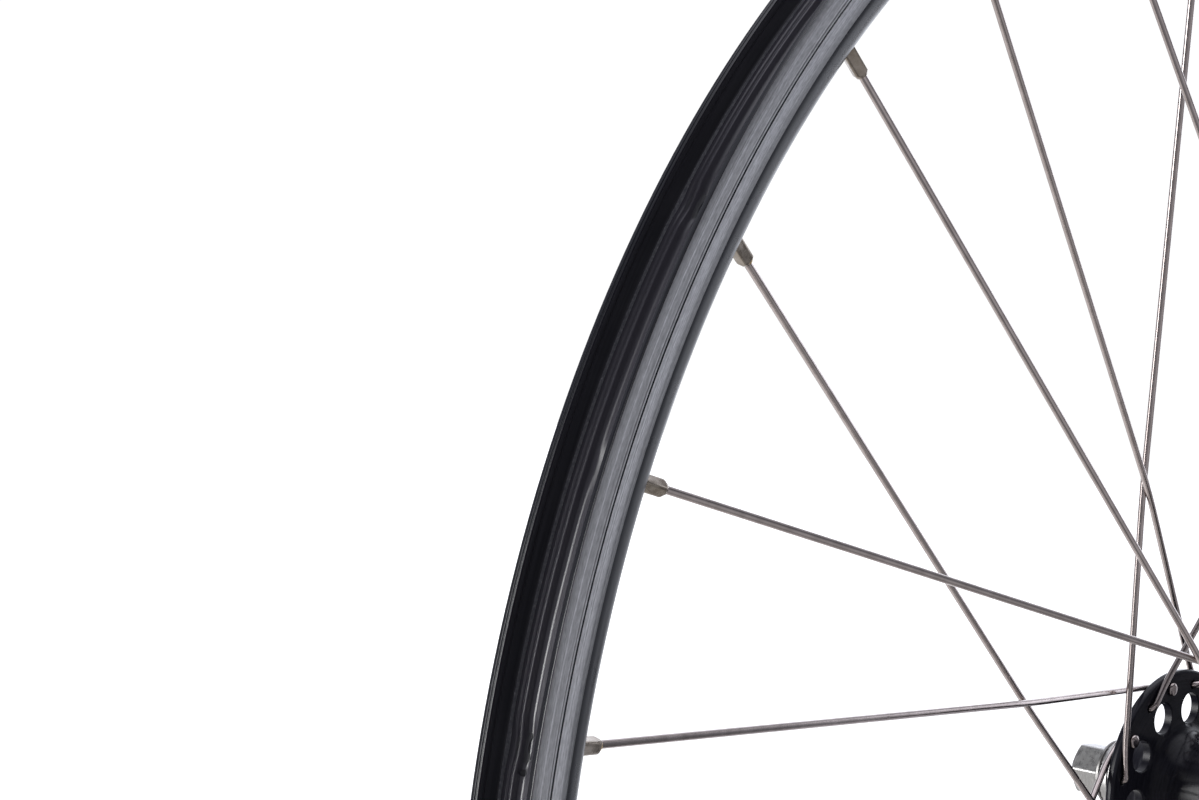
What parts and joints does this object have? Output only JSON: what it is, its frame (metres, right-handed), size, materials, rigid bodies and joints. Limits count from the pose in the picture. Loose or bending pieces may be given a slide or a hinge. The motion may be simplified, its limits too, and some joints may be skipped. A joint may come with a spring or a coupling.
{
  "type": "bicycle wheel",
  "caption": "Spoked bicycle wheel with a hooked alloy rim, a high-flange hub on sealed bearings and a nutted axle.",
  "frame": {"origin": "centre of the wheel, on the axle's axis in the rim's middle plane", "axes": "+Y along the axle towards the left end, +Z towards the valve hole, +X forwards"},
  "size_m": [0.6339, 0.14, 0.634],
  "materials": {
    "rim_black": "black anodised, with the braking track machined to dark grey",
    "sleeve_alloy": "as extruded",
    "tape_black": "smooth glossy film",
    "hub_black": "polished black anodised",
    "spoke_steel": "drawn stainless wire",
    "nipple_brass": "nickel plated, slightly dull",
    "axle_steel": "zinc plated",
    "bearing_steel": "ground and polished",
    "cage_plastic": "moulded",
    "seal_rubber": "moulded",
    "cap_black": "black anodised",
    "nut_zinc": "zinc plated",
    "washer_steel": "zinc plated, serrated face"
  },
  "bodies": {
    "axle_assembly": {"axle": "axle_steel", "bearing_inner_ring_left": "bearing_steel", "bearing_inner_ring_right": "bearing_steel", "bearing_spacer_left": "axle_steel", "bearing_spacer_right": "axle_steel", "locknut_left": "nut_zinc", "locknut_right": "nut_zinc"},
    "wheel": {"rim": "rim_black", "rim_sleeve": "sleeve_alloy", "rim_tape": "tape_black", "hub_shell": "hub_black", "spokes_left_trailing": "spoke_steel", "spokes_left_leading": "spoke_steel", "spokes_right_trailing": "spoke_steel", "spokes_right_leading": "spoke_steel", "nipples_left": "nipple_brass", "nipples_right": "nipple_brass", "bearing_outer_ring_left": "bearing_steel", "bearing_outer_ring_right": "bearing_steel", "bearing_seals_left": "seal_rubber", "bearing_seals_right": "seal_rubber", "dust_cap_left": "cap_black", "dust_cap_right": "cap_black"},
    "ball_set_left": {"bearing_balls_left": "bearing_steel", "bearing_cage_left": "cage_plastic"},
    "ball_set_right": {"bearing_balls_right": "bearing_steel", "bearing_cage_right": "cage_plastic"},
    "washer_left": {"serrated_washer_left": "washer_steel"},
    "nut_left": {"axle_nut_left": "nut_zinc"},
    "washer_right": {"serrated_washer_right": "washer_steel"},
    "nut_right": {"axle_nut_right": "nut_zinc"}
  },
  "joints": [
    {"name": "wheel_spin", "type": "hinge", "parent": "axle_assembly", "child": "wheel", "pos_m": [0, 0, 0], "axis": [0, 1, 0], "continuous": true},
    {"name": "ball_set_left_roll", "type": "hinge", "parent": "axle_assembly", "child": "ball_set_left", "pos_m": [0, 0.042, 0], "axis": [0, 1, 0], "continuous": true},
    {"name": "ball_set_right_roll", "type": "hinge", "parent": "axle_assembly", "child": "ball_set_right", "pos_m": [0, -0.042, 0], "axis": [0, 1, 0], "continuous": true},
    {"name": "washer_left_travel", "type": "slide", "parent": "axle_assembly", "child": "washer_left", "axis": [0, 1, 0], "range_m": [0, 0.008]},
    {"name": "nut_left_turn", "type": "hinge", "parent": "washer_left", "child": "nut_left", "pos_m": [0, 0.06, 0], "axis": [0, 1, 0], "range_deg": [0, 2880]},
    {"name": "washer_right_travel", "type": "slide", "parent": "axle_assembly", "child": "washer_right", "axis": [0, -1, 0], "range_m": [0, 0.008]},
    {"name": "nut_right_turn", "type": "hinge", "parent": "washer_right", "child": "nut_right", "pos_m": [0, -0.06, 0], "axis": [0, -1, 0], "range_deg": [0, 2880]}
  ],
  "couplings": [
    {"joint": "ball_set_left_roll", "follows": "wheel_spin", "ratio": 0.632},
    {"joint": "ball_set_right_roll", "follows": "wheel_spin", "ratio": 0.632},
    {"joint": "washer_left_travel", "follows": "nut_left_turn", "m_per_rad": 0.000159},
    {"joint": "washer_right_travel", "follows": "nut_right_turn", "m_per_rad": 0.000159}
  ]
}
